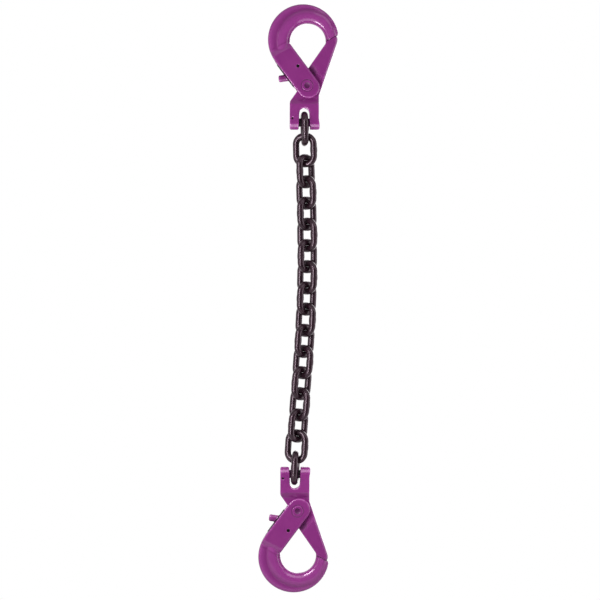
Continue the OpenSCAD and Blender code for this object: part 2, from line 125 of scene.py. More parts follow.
def lie_of(points, first, last):
    """Centre and three axes of a link: along runs from one bearing to the next, thin is the direction at right
    angles to it in which the jaws close most, and wide is square to both, pointing to the limb with the weld."""
    along = (first - last) / np.linalg.norm(first - last)
    side = np.cross(along, [0.0, 1.0, 0.0])
    side /= np.linalg.norm(side)
    up = np.cross(along, side)
    angles = np.radians(np.arange(0, 180, 0.25))
    ways = np.cos(angles)[:, None] * side + np.sin(angles)[:, None] * up
    spread = np.ptp(points @ ways.T, axis=0)
    thin = ways[spread.argmin()]
    wide = np.cross(thin, along)
    low, high, _ = jaws(points, wide)
    centre = along * jaws(points, along)[2] + thin * jaws(points, thin)[2]
    weld_at = centre + wide * (low + high) / 2
    near = np.abs((points - weld_at) @ along) < WELD_REACH
    reach = (points[near] - weld_at) @ wide
    if -reach.min() > reach.max():
        wide, thin = -wide, -thin
    low, high, _ = jaws(points[~near], wide)
    return centre + wide * (low + high) / 2, wide, thin, along


bearings = [ANCHORS["link_%02d" % k] for k in range(1, len(LINKS) + 1)] + [ANCHORS["lower_clevis"]]
lies = [lie_of(node_points(n), bearings[k], bearings[k + 1]) for k, n in enumerate(LINKS)]
first = node_points(LINKS[0]) - lies[0][0]
spans = [round(float(np.ptp(first @ axis)) / mm, 2) for axis in lies[0][1:]]
print("links", len(LINKS), "first link, mm, wide thin long:", spans)

# %% [markdown]
# ## Chain links
# A link starts as a piece of round bar. It is bent to a narrow racetrack and welded in the middle of one limb, and
# the weld is trimmed but stays a little thicker, with a faint ridge on each side where metal was squeezed out. A
# curve with a bevel would give the bar, but not the weld, so a circle is carried along the racetrack and its radius
# is a function of the place: that is one grid of two parameters, the way round the link and the way round the bar.
# The inside of each crown, where the neighbour sits, is filled by a tenth of a millimetre, so that no light shows
# between two links.
# %% Carry a circle round the racetrack
BAR, PITCH, INNER, CROWN_FLAT = 10 * mm, 32 * mm, 18 * mm, 3 * mm
WELD_RISE, WELD_HALF = 0.45 * mm, 4.6  # the swelling's height, and half its length in mm
RIDGE_RISE, RIDGE_AT, RIDGE_WIDE = 0.08 * mm, 3.3, 0.8  # the ridges' height, place and width, the last two in mm
SEAT_FILL = 0.11 * mm  # what the seat is filled by
CROWN_FROM, SEAT_FROM = 17, 19.6  # mm from the link's middle to where the rubbed crown and the seat begin


def racetrack(steps):
    """Points and directions on a link's centre line in its own flat, at even steps of length: a rounded rectangle
    whose corner arcs leave two long limbs and a short flat at each crown. It starts at the weld's middle."""
    half_w, half_l = (INNER + BAR) / 2, (PITCH + BAR) / 2
    bend = half_w - CROWN_FLAT / 2
    turn = np.linspace(0, np.pi / 2, 60)
    arcs = [np.stack([sx * (half_w - bend) + bend * np.cos(turn + q),
                      sz * (half_l - bend) + bend * np.sin(turn + q)], 1)
            for sx, sz, q in ((1, 1, 0), (-1, 1, np.pi / 2), (-1, -1, np.pi), (1, -1, 1.5 * np.pi))]
    line = np.concatenate([[[half_w, 0]], *arcs, [[half_w, 0]]])
    length = np.concatenate([[0], np.cumsum(np.linalg.norm(np.diff(line, axis=0), axis=1))])
    s = np.linspace(0, length[-1], steps, endpoint=False)
    at = np.stack([np.interp(s, length, line[:, i]) for i in (0, 1)], 1)
    run = np.roll(at, -1, axis=0) - np.roll(at, 1, axis=0)
    return at, run / np.linalg.norm(run, axis=1, keepdims=True)


def link_surface(steps=168, around=40):
    """The bar's skin: centre line plus radius times (cosine times the outward direction plus sine times the flat's
    normal). The radius is half the bar, plus a low swelling at the weld and two small ridges at its sides, plus
    0.11 mm on each crown's seat, which brings two links to within 0.08 mm of each other."""
    at, run = racetrack(steps)
    out = np.stack([run[:, 1], -run[:, 0]], 1)
    angle = np.linspace(0, 2 * np.pi, around, endpoint=False)
    z = np.where(at[:, 0] > 0, at[:, 1], 1.0)[:, None] / mm
    swell = WELD_RISE * np.clip(1 - (z / WELD_HALF) ** 2, 0, 1) ** 0.7
    ridge = RIDGE_RISE * sum(np.exp(-((z - side * RIDGE_AT) / RIDGE_WIDE) ** 2) for side in (1, -1))
    uneven = 1 + 0.5 * np.sin(3 * angle + 1) * np.sin(5 * angle)
    far, inside = np.abs(at[:, 1:]) / mm, np.clip(-np.cos(angle), 0, 1)
    crown = np.clip((far - CROWN_FROM) / 3, 0, 1) * inside ** 1.5
    seat = np.clip((far - SEAT_FROM) / 1.2, 0, 1) * inside ** 4
    radius = BAR / 2 + swell + ridge * uneven + SEAT_FILL * seat
    wide = at[:, :1] + radius * np.cos(angle) * out[:, :1]
    along = at[:, 1:] + radius * np.cos(angle) * out[:, 1:]
    thin = radius * np.sin(angle)
    weld = np.exp(-(z / 4.0) ** 4) * np.ones_like(angle)
    points = np.stack([wide, thin, along], -1).reshape(-1, 3)
    return points, grid_faces(steps, around), weld.ravel(), crown.ravel()


link_points, link_faces, link_weld, link_crown = link_surface()
dressed_links = []
for k, name in enumerate(LINKS):
    centre, wide, thin, along = lies[k]
    points = centre + link_points @ np.stack([wide, thin, along])
    piece = add_mesh("dressed_" + name, points, link_faces, weld=link_weld, rubbed=link_crown)
    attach(piece, "link_%02d" % (k + 1))
    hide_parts(name)
    dressed_links.append(piece)
print("links dressed", len(dressed_links), "with", len(link_faces), "faces each")

# %% [markdown]
# ## Forged bodies
# The hooks, the clevises and the triggers come out of closed dies and are shot-blasted, so no corner on them is
# sharp: edges are rounded by a millimetre or more and inner corners are filled. A bevel modifier would need clean
# edge loops, which a CAD mesh of triangles hasn't, and a grid of two parameters can't branch into a fork. So the
# CAD skin is copied, its loose triangles are merged, it is rebuilt as even small squares, and the squares are
# relaxed: each point moves a little towards the middle of its neighbours and then partly back, which rounds what is
# sharp and leaves flat and gently curved faces where they are. More is then added as functions of the place on the
# hook's drawing: a scoop round the clevis's slot, the gate's end brought up to the hook's tip, an edge value that
# paints shade into inner corners, the pin's groove, the tip's gap and beside the cheeks and paints light onto outer
# edges, the slope down to the bowl and the bowl, and a second value that paints the trigger's plate near black as
# the shade along the slot.
# %% Round the forgings
CELL = 0.72 * mm  # the side of one square
FLIP = {"upper": 1, "lower": -1}  # the lower hook is the upper one upside down
HANG_TURN = np.radians(1.2)  # the sling hangs turned by this much
SHANK_LEAN = 36.7  # degrees from the chain's line to the shank
TIP_X, TIP_Z, TIP_SLOPE = 36.4, 70.9, np.radians(27.9)  # middle of the tip's face, mm from the pivot, and its slope
SLOT_HIGH, SLOT_HALF = 13.7, 7.3  # from the load pin to where the slot's end rounds off, and its half width, mm
SCOOP_DEEP, SCOOP_WIDE = 1.2 * mm, 3.6  # depth of the scoop at the slot's edge, and how far it runs out, in mm
GAP_CAD, GAP_CLOSED = 0.6, 0.48 * mm  # between gate and tip: mm that the CAD leaves, and what is taken up of them


def skin_of(name):
    """Points and four-sided faces of a CAD node's skin, rebuilt with square cells of one size."""
    source = frame["nodes"][name]
    mesh = source.data.copy()
    work = bmesh.new()
    work.from_mesh(mesh)
    bmesh.ops.remove_doubles(work, verts=work.verts, dist=0.002 * mm)
    work.to_mesh(mesh)
    work.free()
    body = bpy.data.objects.new("skin_work", mesh)
    bpy.context.scene.collection.objects.link(body)
    rebuild = body.modifiers.new("rebuild", "REMESH")
    rebuild.mode = "VOXEL"
    rebuild.voxel_size = CELL
    bpy.context.view_layer.update()
    result = body.evaluated_get(bpy.context.evaluated_depsgraph_get()).to_mesh()
    points = np.empty(len(result.vertices) * 3, np.float32)
    result.vertices.foreach_get("co", points)
    faces = np.empty(len(result.loops), np.int32)
    result.loops.foreach_get("vertex_index", faces)
    body.evaluated_get(bpy.context.evaluated_depsgraph_get()).to_mesh_clear()
    bpy.data.objects.remove(body)
    bpy.data.meshes.remove(mesh)
    return points.reshape(-1, 3).astype(float), faces.reshape(-1, 4)


def neighbour_mean(values, faces):
    """For each point, the mean of the values at the points that share an edge of the grid with it."""
    a = np.concatenate([faces[:, i] for i in range(4)])
    b = np.concatenate([faces[:, (i + 1) % 4] for i in range(4)])
    ends, others = np.concatenate([a, b]), np.concatenate([b, a])
    count = np.bincount(ends, minlength=len(values))[:, None]
    total = np.stack([np.bincount(ends, values[others, i], minlength=len(values)) for i in range(values.shape[1])], 1)
    return total / count


def relaxed(points, faces, passes):
    """Rounds sharp corners: each pass moves a point 0.6 of the way to its neighbours' mean, then 0.55 of the way
    back out, so that flat faces and the whole size hold."""
    for _ in range(passes):
        for share in (0.6, -0.55):
            points = points + share * (neighbour_mean(points, faces) - points)
    return points


def outward(points, faces):
    """Unit normals at the points, from the cross product of each square's diagonals, added up at its corners."""
    p = points[faces]
    n = np.cross(p[:, 2] - p[:, 0], p[:, 3] - p[:, 1])
    total = np.stack([np.bincount(faces.ravel(), np.repeat(n[:, i], 4), minlength=len(points)) for i in range(3)], 1)
    return total / np.maximum(np.linalg.norm(total, axis=1, keepdims=True), 1e-12)


def edge_amount(points, faces):
    """How strongly the skin bends at a point: above 0 on an outer edge, below 0 in an inner corner, 0 on a flat."""
    bend, steps = points, 8
    for _ in range(steps):
        bend = neighbour_mean(bend, faces)
    amount = ((points - bend) * outward(points, faces)).sum(1, keepdims=True) / (0.35 * mm)
    for _ in range(steps):
        amount = neighbour_mean(amount, faces)
    return np.clip(amount.ravel(), -1, 1)


def hook_drawing(points, end, turn=0.0):
    """The points' places on the hook's own drawing, in mm from the pivot: the sling hangs turned by 1.2 degrees, and
    the lower hook is the upper one upside down. A further turn, in degrees, lays the second axis along the shank."""
    pivot = np.array(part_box(end + "_pivot_pin")).mean(axis=0)
    x, z = (points - pivot)[:, 0] / mm, (points - pivot)[:, 2] / mm
    a, b = HANG_TURN, np.radians(turn)
    x, z = x * np.cos(a) + z * np.sin(a), (-x * np.sin(a) + z * np.cos(a)) * FLIP[end]
    return x * np.cos(b) + z * np.sin(b), -x * np.sin(b) + z * np.cos(b)


def bare_share(points, end):
    """1 on the trigger's plate between the cheeks, which is painted near black and barely reflecting as painted shade
    along the slot, and 0 out on its finger stub: a smooth step of the distance that a point stands out, square to the
    shank, from the fork's middle line."""
    across = hook_drawing(points, end, SHANK_LEAN)[0]
    return 1 - np.clip((-across - 18.1) / 0.5, 0, 1)


def pin_groove_shade(points, end):
    """1 in the ring where the cheek meets the pivot pin's head, falling off within half a millimetre: painted shade.
    """
    x, z = hook_drawing(points, end)
    return np.exp(-((np.hypot(x, z) - 9.0) / 0.5) ** 2)


def cheek_shade(points, end):
    """1 on the gate beside the cheek's edge and on the slope there, then falling off smoothly over 10 mm: painted
    shade in the corner beside the cheek. It counts only above the pivot."""
    across, along = hook_drawing(points, end, SHANK_LEAN)
    return np.clip(1 - np.maximum(across - 22, 0) / 10, 0, 1) ** 1.5 * np.clip((along - 2) / 8, 0, 1)


def painted_light_share(points, end):
    """How much lighter the hook body's paint is made, as a painted highlight: 0 on the cheeks, 1 on the slope down to
    the bowl, which runs from 62 to 71.5 mm along the shank with 9 degrees of skew, and 0.45 on the bowl."""
    across, along = hook_drawing(points, end, SHANK_LEAN)
    past = along + across * np.tan(np.radians(9))
    slope = np.clip((past - 61.5) / 2, 0, 1) * np.clip((73 - past) / 2.5, 0, 1) * np.clip(20 - across, 0, 1)
    bowl = np.clip(np.maximum(past - 72, across - 22) / 3, 0, 1)
    return np.maximum(slope, 0.45 * bowl)


def above_tip(points, end):
    """How far a point lies above the hook's tip face, in mm, which is below 0 on the gate, and 1 near the tip."""
    x, z = hook_drawing(points, end)
    near = np.hypot(x - TIP_X, z - TIP_Z) < 14
    return (z - TIP_Z) * np.cos(TIP_SLOPE) - (x - TIP_X) * np.sin(TIP_SLOPE), near * 1.0


def slot_relief(points, end):
    """How far a clevis face dips, in metres, round the closed end of its chain slot: a scoop 1.2 mm deep at the edge
    that runs out in 3.6 mm, which leaves the next link room to swing."""
    load = np.array(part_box(end + "_load_pin")).mean(axis=0)
    x, z = hook_drawing(points, end)
    at_x, at_z = hook_drawing(load[None], end)
    high = z - at_z - SLOT_HIGH
    away = np.hypot(x - at_x, np.maximum(high, 0)) - SLOT_HALF
    return SCOOP_DEEP * np.clip(1 - away / SCOOP_WIDE, 0, 1) ** 1.6 * np.clip((high + 4) / 4, 0, 1)


def closed_up(points, end):
    """Brings the gate's end to within 0.12 mm of the hook's tip, where the CAD leaves 0.6 mm: the last 2 mm of the
    gate stretch square to the face, the end itself by 0.48 mm."""
    above, near = above_tip(points, end)
    a = HANG_TURN
    x, z = -np.sin(TIP_SLOPE), FLIP[end] * np.cos(TIP_SLOPE)
    way = np.array([x * np.cos(a) - z * np.sin(a), 0, x * np.sin(a) + z * np.cos(a)])
    return points + (GAP_CLOSED * near * np.clip(1 + (above + GAP_CAD) / 2, 0, 1))[:, None] * way


def forging(name, node, body, soft):
    """A softened copy of a CAD node, which rides on the node's body and stands for it. A corner's rounding grows as
    the cell times the root of the number of passes, so the passes follow from how soft it is to be, in mm."""
    (points, faces), end = skin_of(node), body.split("_")[0]
    crisp = relaxed(points, faces, int(round((1.5 * mm / CELL) ** 2)))
    points = relaxed(points, faces, int(round((soft * mm / CELL) ** 2)))
    above, near = above_tip(points, end)
    points += (near * np.clip(1.5 - np.abs(above + 0.3) / 2, 0, 1))[:, None] * (crisp - points)
    edge = edge_amount(points, faces) * (1 - near * np.exp(-((above + 0.3) / 2.5) ** 2))
    if node.endswith("hook_body"):
        # painted shade: a dark line in the gap between the gate and the hook's tip
        gap_shade = near * np.exp(-((above + 0.1) / 0.7) ** 2)
        # painted shade in the pin's groove and the tip's gap, painted highlight on the slope and the bowl
        edge = edge - 1.6 * pin_groove_shade(points, end) - 1.5 * gap_shade + 1.05 * painted_light_share(points, end)
    if node.endswith("clevis"):
        on_face = np.abs(points[:, 1]) > 8 * mm
        points[:, 1] -= np.sign(points[:, 1]) * slot_relief(points, end) * on_face
        # painted shade: darker paint in the tip's gap and on the gate beside the cheek
        gap_shade = near * np.exp(-((above + 0.5) / 0.7) ** 2)
        edge = edge - 1.5 * gap_shade - 0.8 * cheek_shade(points, end)
        points = closed_up(points, end)
    bare = bare_share(points, end) if node.endswith("trigger") else np.zeros(len(points))
    piece = add_mesh(name, points, faces, edge=edge, bare=bare)
    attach(piece, body)
    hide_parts(node)
    print(name, "points", len(points), "size mm", [round(float(v) / mm, 1) for v in np.ptp(points, axis=0)])
    return piece


# part of the node's name: the part of its body's name, and how soft it is to be, in mm
FORGED = {"hook_body": ("hook", 3.6), "gate_clevis": ("clevis", 3.3), "trigger": ("trigger", 2.4)}
forgings = [forging(f"{end}_{part}_forged", f"{end}_{part}", f"{end}_{body}", soft)
            for end in ("upper", "lower") for part, (body, soft) in FORGED.items()]

# %% [markdown]
# ## Pivot pins
# The pivot pin holds the two cheeks of the fork and carries the hub between them. Its ends are peened over: a flat,
# round-edged head with a shallow dimple from the peening tool, painted over with the rest. A pin is a surface of
# revolution, so one profile of radius against length is spun about the pin's axis, and the points lie closer
# together on the head's edge and round the dimple, where light catches them. The points that meet on the axis are
# joined, so that the skin is closed.
# %% Spin the pivot pins
def head_profile(half, head_r, pin_r, rise, depth, dimple_r):
    """Radius, height and edge value from the dimple's middle to the pin's waist: a bowl-shaped dimple with a soft
    lip, a flat face, a quarter-round edge that falls into the groove round the head, and a taper down to the pin. The
    edge value paints shade into the dimple and the groove and a highlight onto the lip."""
    t = np.linspace(0, 1, 20)
    # third column: painted shade in the dimple and the groove, painted highlight on the lip
    dimple = np.stack([dimple_r * t, half - depth * (1 - t ** 2.4) ** 0.7, -1.1 + 0.5 * t ** 6], 1)
    lip = np.array([[dimple_r + 0.15 * mm, half - 0.06 * mm, 0.5], [dimple_r + 0.35 * mm, half, 0.9],
                    [dimple_r + 0.8 * mm, half, 0.1], [head_r - 1.9 * mm, half, 0.1]])
    q = np.linspace(0.1, 1, 10) * np.pi / 2
    edge = np.stack([head_r - 1.9 * mm + 1.5 * mm * np.sin(q), half - rise * (1 - np.cos(q)),
                     0.7 - 1.7 * q ** 3 / 3.9], 1)
    waist = np.array([[head_r - 0.15 * mm, half - rise - 0.1 * mm, -1],
                      [head_r - 0.1 * mm, half - rise - 0.6 * mm, -1],
                      [pin_r, half - rise - 2.6 * mm, -1], [pin_r, 0, -1]])
    return np.concatenate([dimple, lip, edge, waist])


def spun(centre, profile, around=96):
    """The profile turned about the line through centre along Y, and mirrored for the far half: points, faces and
    the profile's third column for each point."""
    full = np.concatenate([profile, (profile * [1, -1, 1])[-2::-1]])
    angle = np.linspace(0, 2 * np.pi, around, endpoint=False)
    x = full[:, :1] * np.cos(angle)
    z = full[:, :1] * np.sin(angle)
    y = full[:, 1:2] * np.ones_like(angle)
    points = np.stack([x, y, z], -1).reshape(-1, 3) + centre
    return points, grid_faces(len(full), around, closed_rows=False), np.repeat(full[:, 2], around)


def close_poles(piece):
    """Joins the points that lie on each other where a spun profile starts and ends on its axis."""
    work = bmesh.new()
    work.from_mesh(piece.data)
    bmesh.ops.remove_doubles(work, verts=work.verts, dist=0.0005 * mm)
    work.to_mesh(piece.data)
    work.free()


pins = []
for end in ("upper", "lower"):
    low, high = (np.array(v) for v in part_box(end + "_pivot_pin"))
    half, reach = (high[1] - low[1]) / 2, (high[0] - low[0]) / 2
    profile = head_profile(half, reach, pin_r=7 * mm, rise=1.35 * mm, depth=2.3 * mm, dimple_r=4.5 * mm)
    points, faces, values = spun((low + high) / 2, profile)
    piece = add_mesh(end + "_pivot_pin_peened", points, faces, edge=values)
    close_poles(piece)
    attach(piece, end + "_hook")
    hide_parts(end + "_pivot_pin")
    pins.append(piece)
print("pivot pins", len(pins), "head diameter mm", round(2 * float(reach) / mm, 2))

# %% [markdown]
# ## Inside of the roll pins
# The trigger's pin and the load pin's keeper are slit tubes, driven in below the surface. Each end is to be a dark
# dot with no light coming through, so a short plug with a hollow in its end closes the tube, and it is made nearly
# black as painted shade inside the tube: a profile again, spun about the tube's axis.
# %% Close the roll pins
plugs = []
for end in ("upper", "lower"):
    for pin, body in (("trigger_pin", "hook"), ("load_pin_keeper", "clevis")):
        low, high = (np.array(v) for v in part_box(f"{end}_{pin}"))
        reach, half = (high[2] - low[2]) / 2 - 0.05 * mm, (high[1] - low[1]) / 2 - 0.7 * mm
        t = np.linspace(0, 1, 8)
        dish = np.stack([reach * t, half - 0.5 * mm * (1 - t ** 2), 0 * t], 1)
        points, faces, _ = spun((low + high) / 2, np.concatenate([dish, [[reach, 0, 0]]]), around=32)
        piece = add_mesh(f"{end}_{pin}_plug", points, faces)
        close_poles(piece)
        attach(piece, f"{end}_{body}")
        plugs.append(piece)
print("plugs", len(plugs))

# %% [markdown]
# ## Finishes
# Each finish is a small node network that reads the place on the object, never the camera, so it holds from every
# side. A few helpers keep the networks short: one starts a finish, one adds a node and fills its sockets, one makes
# a fine noise, one turns a range of a value into a smooth step between 0 and 1, two do arithmetic, and one lays a
# fine relief on the skin.
# %% Helpers for the finishes
def new_finish(name, **constants):
    """A material with one principled shader, whose constants are set straight on its sockets."""
    finish = bpy.data.materials.new(name)
    finish.use_nodes = True
    tree = finish.node_tree
    skin = tree.nodes["Principled BSDF"]
    for key, value in constants.items():
        skin.inputs[key.replace("_", " ")].default_value = value
    return finish, tree, skin


def add(tree, kind, settings=None, **sockets):
    """A node of this kind. A socket given another node's output is linked, any other is filled in."""
    node = tree.nodes.new(kind)
    for key, value in (settings or {}).items():
        setattr(node, key, value)
    for key, value in sockets.items():
        by_number = key[0] == "i" and key[1:].isdigit()
        socket = node.inputs[int(key[1:]) if by_number else key.replace("_", " ")]
        if isinstance(value, bpy.types.NodeSocket):
            tree.links.new(value, socket)
        else:
            socket.default_value = value
    return node


def noise(tree, place, per_metre, detail=2.0, roughness=0.5):
    """Noise with this many blotches a metre, 0 to 1."""
    return add(tree, "ShaderNodeTexNoise", Vector=place, Scale=float(per_metre), Detail=detail,
               Roughness=roughness).outputs["Fac"]


def ramp(tree, value, low, high, to_low=0.0, to_high=1.0):
    """The value's range from low to high as a smooth rise from to_low to to_high, held outside it."""
    return add(tree, "ShaderNodeMapRange", {"interpolation_type": "SMOOTHSTEP"}, Value=value, From_Min=low,
               From_Max=high, To_Min=to_low, To_Max=to_high).outputs["Result"]


def blend_colours(tree, share, first, second):
    """The first colour where the share is 0 and the second where it is 1."""
    mix = add(tree, "ShaderNodeMix", {"data_type": "RGBA"})
    for at, value in ((0, share), (6, first), (7, second)):
        if isinstance(value, bpy.types.NodeSocket):
            tree.links.new(value, mix.inputs[at])
        else:
            mix.inputs[at].default_value = (*value, 1.0) if at else value
    return mix.outputs[2]


def calc(tree, operation, first, second=0.0):
    """One step of arithmetic with one or two values."""
    return add(tree, "ShaderNodeMath", {"operation": operation}, i0=first, i1=second).outputs[0]


def sum_of(tree, *weighted):
    """The sum of values times their weights."""
    total = None
    for value, weight in weighted:
        part = calc(tree, "MULTIPLY", value, weight)
        total = part if total is None else calc(tree, "ADD", total, part)
    return total


def here(tree):
    """The place on the object, in metres."""
    return add(tree, "ShaderNodeTexCoord").outputs["Object"]


def point_value(tree, name):
    """A value kept at the mesh's points, such as edge or weld."""
    return add(tree, "ShaderNodeAttribute", {"attribute_name": name}).outputs["Fac"]


def emboss(tree, skin, height, strength, metres):
    """The height as fine relief of the shader, this many metres deep."""
    bump = add(tree, "ShaderNodeBump", Strength=strength, Distance=metres, Height=height)
    tree.links.new(bump.outputs["Normal"], skin.inputs["Normal"])

# %% [markdown]
# ## Purple powder coat
# Powder coat is sprayed on as dry dust and baked. It melts to a thick, even, satin skin with a fine orange peel, it
# draws back a little from edges, where it is glossier, and it gathers in inner corners. The peel is a bump of two
# noises, one a millimetre across and one eight. The edge value that was worked out with each forging and pin moves
# the gloss and the colour: lighter purple on outer edges, on the pins' lips, on the slope down to the bowl and on the
# bowl is painted highlight, and darker purple in inner corners, the pins' dimples and grooves, the tip's gap and
# beside the cheeks is painted shade. A trimmed forging also keeps a faint line round its middle plane, where the two
# dies met; here it is a low ridge in the bump, where Y is 0.
# %% Powder coat
def powder_coat():
    """Satin purple: colour and gloss by noise and by the edge value, orange peel and the dies' line in the bump."""
    finish, tree, skin = new_finish("purple_powder_coat", IOR=1.5, Specular_Tint=(1.0, 0.86, 1.0, 1.0))
    place = here(tree)
    edge = point_value(tree, "edge")
    tone = ramp(tree, noise(tree, place, 26, 3.0, 0.6), 0.3, 0.7)
    paint = blend_colours(tree, tone, (0.226, 0.024, 0.188), (0.256, 0.032, 0.209))
    # painted highlight: lighter purple where the edge value is high
    paint = blend_colours(tree, ramp(tree, edge, 0.25, 0.95, 0.0, 0.5), paint, (0.42, 0.070, 0.36))
    # painted shade: darker purple where the edge value is low
    paint = blend_colours(tree, ramp(tree, edge, -0.1, -0.9, 0.0, 0.8), paint, (0.090, 0.006, 0.077))
    # painted shade: the trigger's plate made nearly black, rougher and barely reflecting
    bare = point_value(tree, "bare")
    paint = blend_colours(tree, bare, paint, (0.004, 0.002, 0.004))
    tree.links.new(paint, skin.inputs["Base Color"])
    speck = noise(tree, place, 1500, 2.0)
    gloss = sum_of(tree, (noise(tree, place, 60, 2.0), 0.08), (speck, 0.04), (ramp(tree, edge, 0.2, 0.9), -0.04),
                   (ramp(tree, edge, -0.15, -0.75), 0.5), (bare, 0.4))
    gloss = calc(tree, "ADD", gloss, 0.13)
    tree.links.new(gloss, skin.inputs["Roughness"])
    tree.links.new(ramp(tree, bare, 0.0, 1.0, 0.5, 0.06), skin.inputs["Specular IOR Level"])
    across = add(tree, "ShaderNodeSeparateXYZ", Vector=place).outputs["Y"]
    dies = ramp(tree, calc(tree, "ABSOLUTE", across), 0.4 * mm, 1.4 * mm, 1.0, 0.0)
    fine, coarse = noise(tree, place, 820, 2.0, 0.45), noise(tree, place, 130, 0.5)
    emboss(tree, skin, sum_of(tree, (fine, 0.14), (coarse, 0.7), (dies, 1.2)), 0.3, 0.09 * mm)
    return finish


purple = powder_coat()
for piece in forgings + pins:
    piece.data.materials.append(purple)
print("powder coat on", len(forgings + pins), "pieces,", len(purple.node_tree.nodes), "nodes")

# %% [markdown]
# ## Brown-black chain lacquer
# The chain is dipped in a thin lacquer after it is hardened, so it is nearly black with a warm purple tone, thicker
# in some places than in others, and shiny. At the welds the skin under it is rough from trimming, and in the crowns
# the neighbours rub it thin, so a little grey steel shows. The weld and rubbed values that came with the links'
# grid steer both.
# %% Chain lacquer
def chain_lacquer():
    """Near-black gloss: patchy colour, a rougher skin at the weld and thin, greyer paint where crowns rub."""
    finish, tree, skin = new_finish("chain_lacquer", IOR=1.5, Coat_Weight=0.25, Coat_Roughness=0.15,
                                    Specular_Tint=(1.0, 0.74, 0.90, 1.0), Coat_Tint=(1.0, 0.88, 0.95, 1.0))
    place = here(tree)
    weld, rubbed = point_value(tree, "weld"), point_value(tree, "rubbed")
    patch = ramp(tree, noise(tree, place, 75, 4.0, 0.6), 0.35, 0.65)
    paint = blend_colours(tree, patch, (0.013, 0.0036, 0.0075), (0.028, 0.009, 0.017))
    worn = sum_of(tree, (rubbed, 0.8), (noise(tree, place, 420, 3.0, 0.7), 0.5))
    paint = blend_colours(tree, ramp(tree, worn, 0.72, 1.15, 0.0, 0.7), paint, (0.050, 0.038, 0.044))
    tree.links.new(paint, skin.inputs["Base Color"])
    gloss = sum_of(tree, (noise(tree, place, 190, 3.0), 0.16), (weld, 0.08), (rubbed, 0.35))
    gloss = calc(tree, "ADD", gloss, 0.21)
    tree.links.new(gloss, skin.inputs["Roughness"])
    rough_weld = calc(tree, "MULTIPLY", noise(tree, place, 700, 3.0, 0.6), weld)
    runs = noise(tree, place, 260, 2.0, 0.4)
    emboss(tree, skin, sum_of(tree, (runs, 0.22), (rough_weld, 0.4)), 0.6, 0.16 * mm)
    return finish


lacquer = chain_lacquer()
for piece in dressed_links:
    piece.data.materials.append(lacquer)
print("lacquer on", len(dressed_links), "links,", len(lacquer.node_tree.nodes), "nodes")

# %% [markdown]
# ## Blackened steel
# The load pins, the slit roll pins and the springs are hardened steel, blackened in an oxide bath and oiled, so they
# are dark grey and fairly dull. They sit deep in their holes and stay as the CAD made them. The oxide is hardly
# metallic. Its colour and roughness drift a little, and a stretched noise gives the fine lines of the drawn wire.
# %% Steel for the pins and springs
def black_steel():
    """Dull dark oxide with patchy oil and fine lines along one way."""
    finish, tree, skin = new_finish("blackened_steel", Metallic=0.2, IOR=1.5, Specular_Tint=(1.0, 0.8, 0.92, 1.0))
    place = here(tree)
    drawn = add(tree, "ShaderNodeMapping", Vector=place, Scale=(1.0, 0.12, 1.0)).outputs["Vector"]
    lines = noise(tree, drawn, 2600, 2.0)
    oil = ramp(tree, noise(tree, place, 160, 3.0), 0.35, 0.65)
    oxide = blend_colours(tree, oil, (0.008, 0.006, 0.008), (0.022, 0.018, 0.021))
    tree.links.new(oxide, skin.inputs["Base Color"])
    gloss = calc(tree, "ADD", sum_of(tree, (lines, 0.12), (oil, 0.10)), 0.28)
    tree.links.new(gloss, skin.inputs["Roughness"])
    emboss(tree, skin, lines, 0.3, 0.04 * mm)
    return finish


steel = black_steel()
plain = [n for n, o in frame["nodes"].items() if not o.hide_render]
for name in plain:
    node = frame["nodes"][name]
    if not node.material_slots:
        node.data.materials.append(steel)
    for place_for in node.material_slots:
        place_for.link = "OBJECT"
        place_for.material = steel
print("steel on", len(plain), "CAD nodes:", ", ".join(sorted(plain)))

# %% [markdown]
# ## Painted shade in the roll pins
# The plug that closes the roll pins is dull and nearly black, which paints the shade inside the tube, with a few
# spots that still shine. One noise gives the spots, and colour, roughness and relief all follow it, so that they
# agree.
# %% Painted shade in the roll pins
def bore_shade_finish():
    """Dull black with a few shiny spots."""
    finish, tree, skin = new_finish("bore_shade_finish", IOR=1.45)
    place = here(tree)
    shiny_spot = ramp(tree, noise(tree, place, 900, 3.0), 0.4, 0.7)
    black = blend_colours(tree, shiny_spot, (0.003, 0.002, 0.003), (0.008, 0.005, 0.007))
    tree.links.new(black, skin.inputs["Base Color"])
    tree.links.new(ramp(tree, shiny_spot, 0.0, 1.0, 0.75, 0.45), skin.inputs["Roughness"])
    emboss(tree, skin, shiny_spot, 0.4, 0.08 * mm)
    return finish


bore_shade = bore_shade_finish()
for piece in plugs:
    piece.data.materials.append(bore_shade)
print("grease on", len(plugs), "plugs")

# %% [markdown]
# ## Floor and background
# The photograph is cut out on white. A small pale floor lies under the sling, so that it has a shadow in views from
# above, and it is small enough to stay out of the camera's view. The background is white to the camera. A reflection
# sees white behind the sling, a paler ceiling and floor, and a dim room at the sides. The sling itself is lit by a
# weaker, even sky. The light path tells the three apart.
# %% Floor and background
FLOOR_R, FLOOR_BELOW, FLOOR_GLOW = 0.6, 0.09, 0.6  # two in metres, and the share of its own light
SKY, DIM, CEILING = 0.26, 0.16, 0.6  # brightness of the even sky, and of the room in a reflection
lowest = min(corner[2] for corner in cad_box)
turn = np.linspace(0, 2 * np.pi, 96, endpoint=False)
rings = np.linspace(0.0005, 1, 12)[:, None] * FLOOR_R
level = np.full((12, 96), lowest - FLOOR_BELOW)
disc = np.stack([rings * np.cos(turn) - 0.01, rings * np.sin(turn), level], -1).reshape(-1, 3)
floor = add_mesh("floor", disc, grid_faces(12, 96, closed_rows=False))


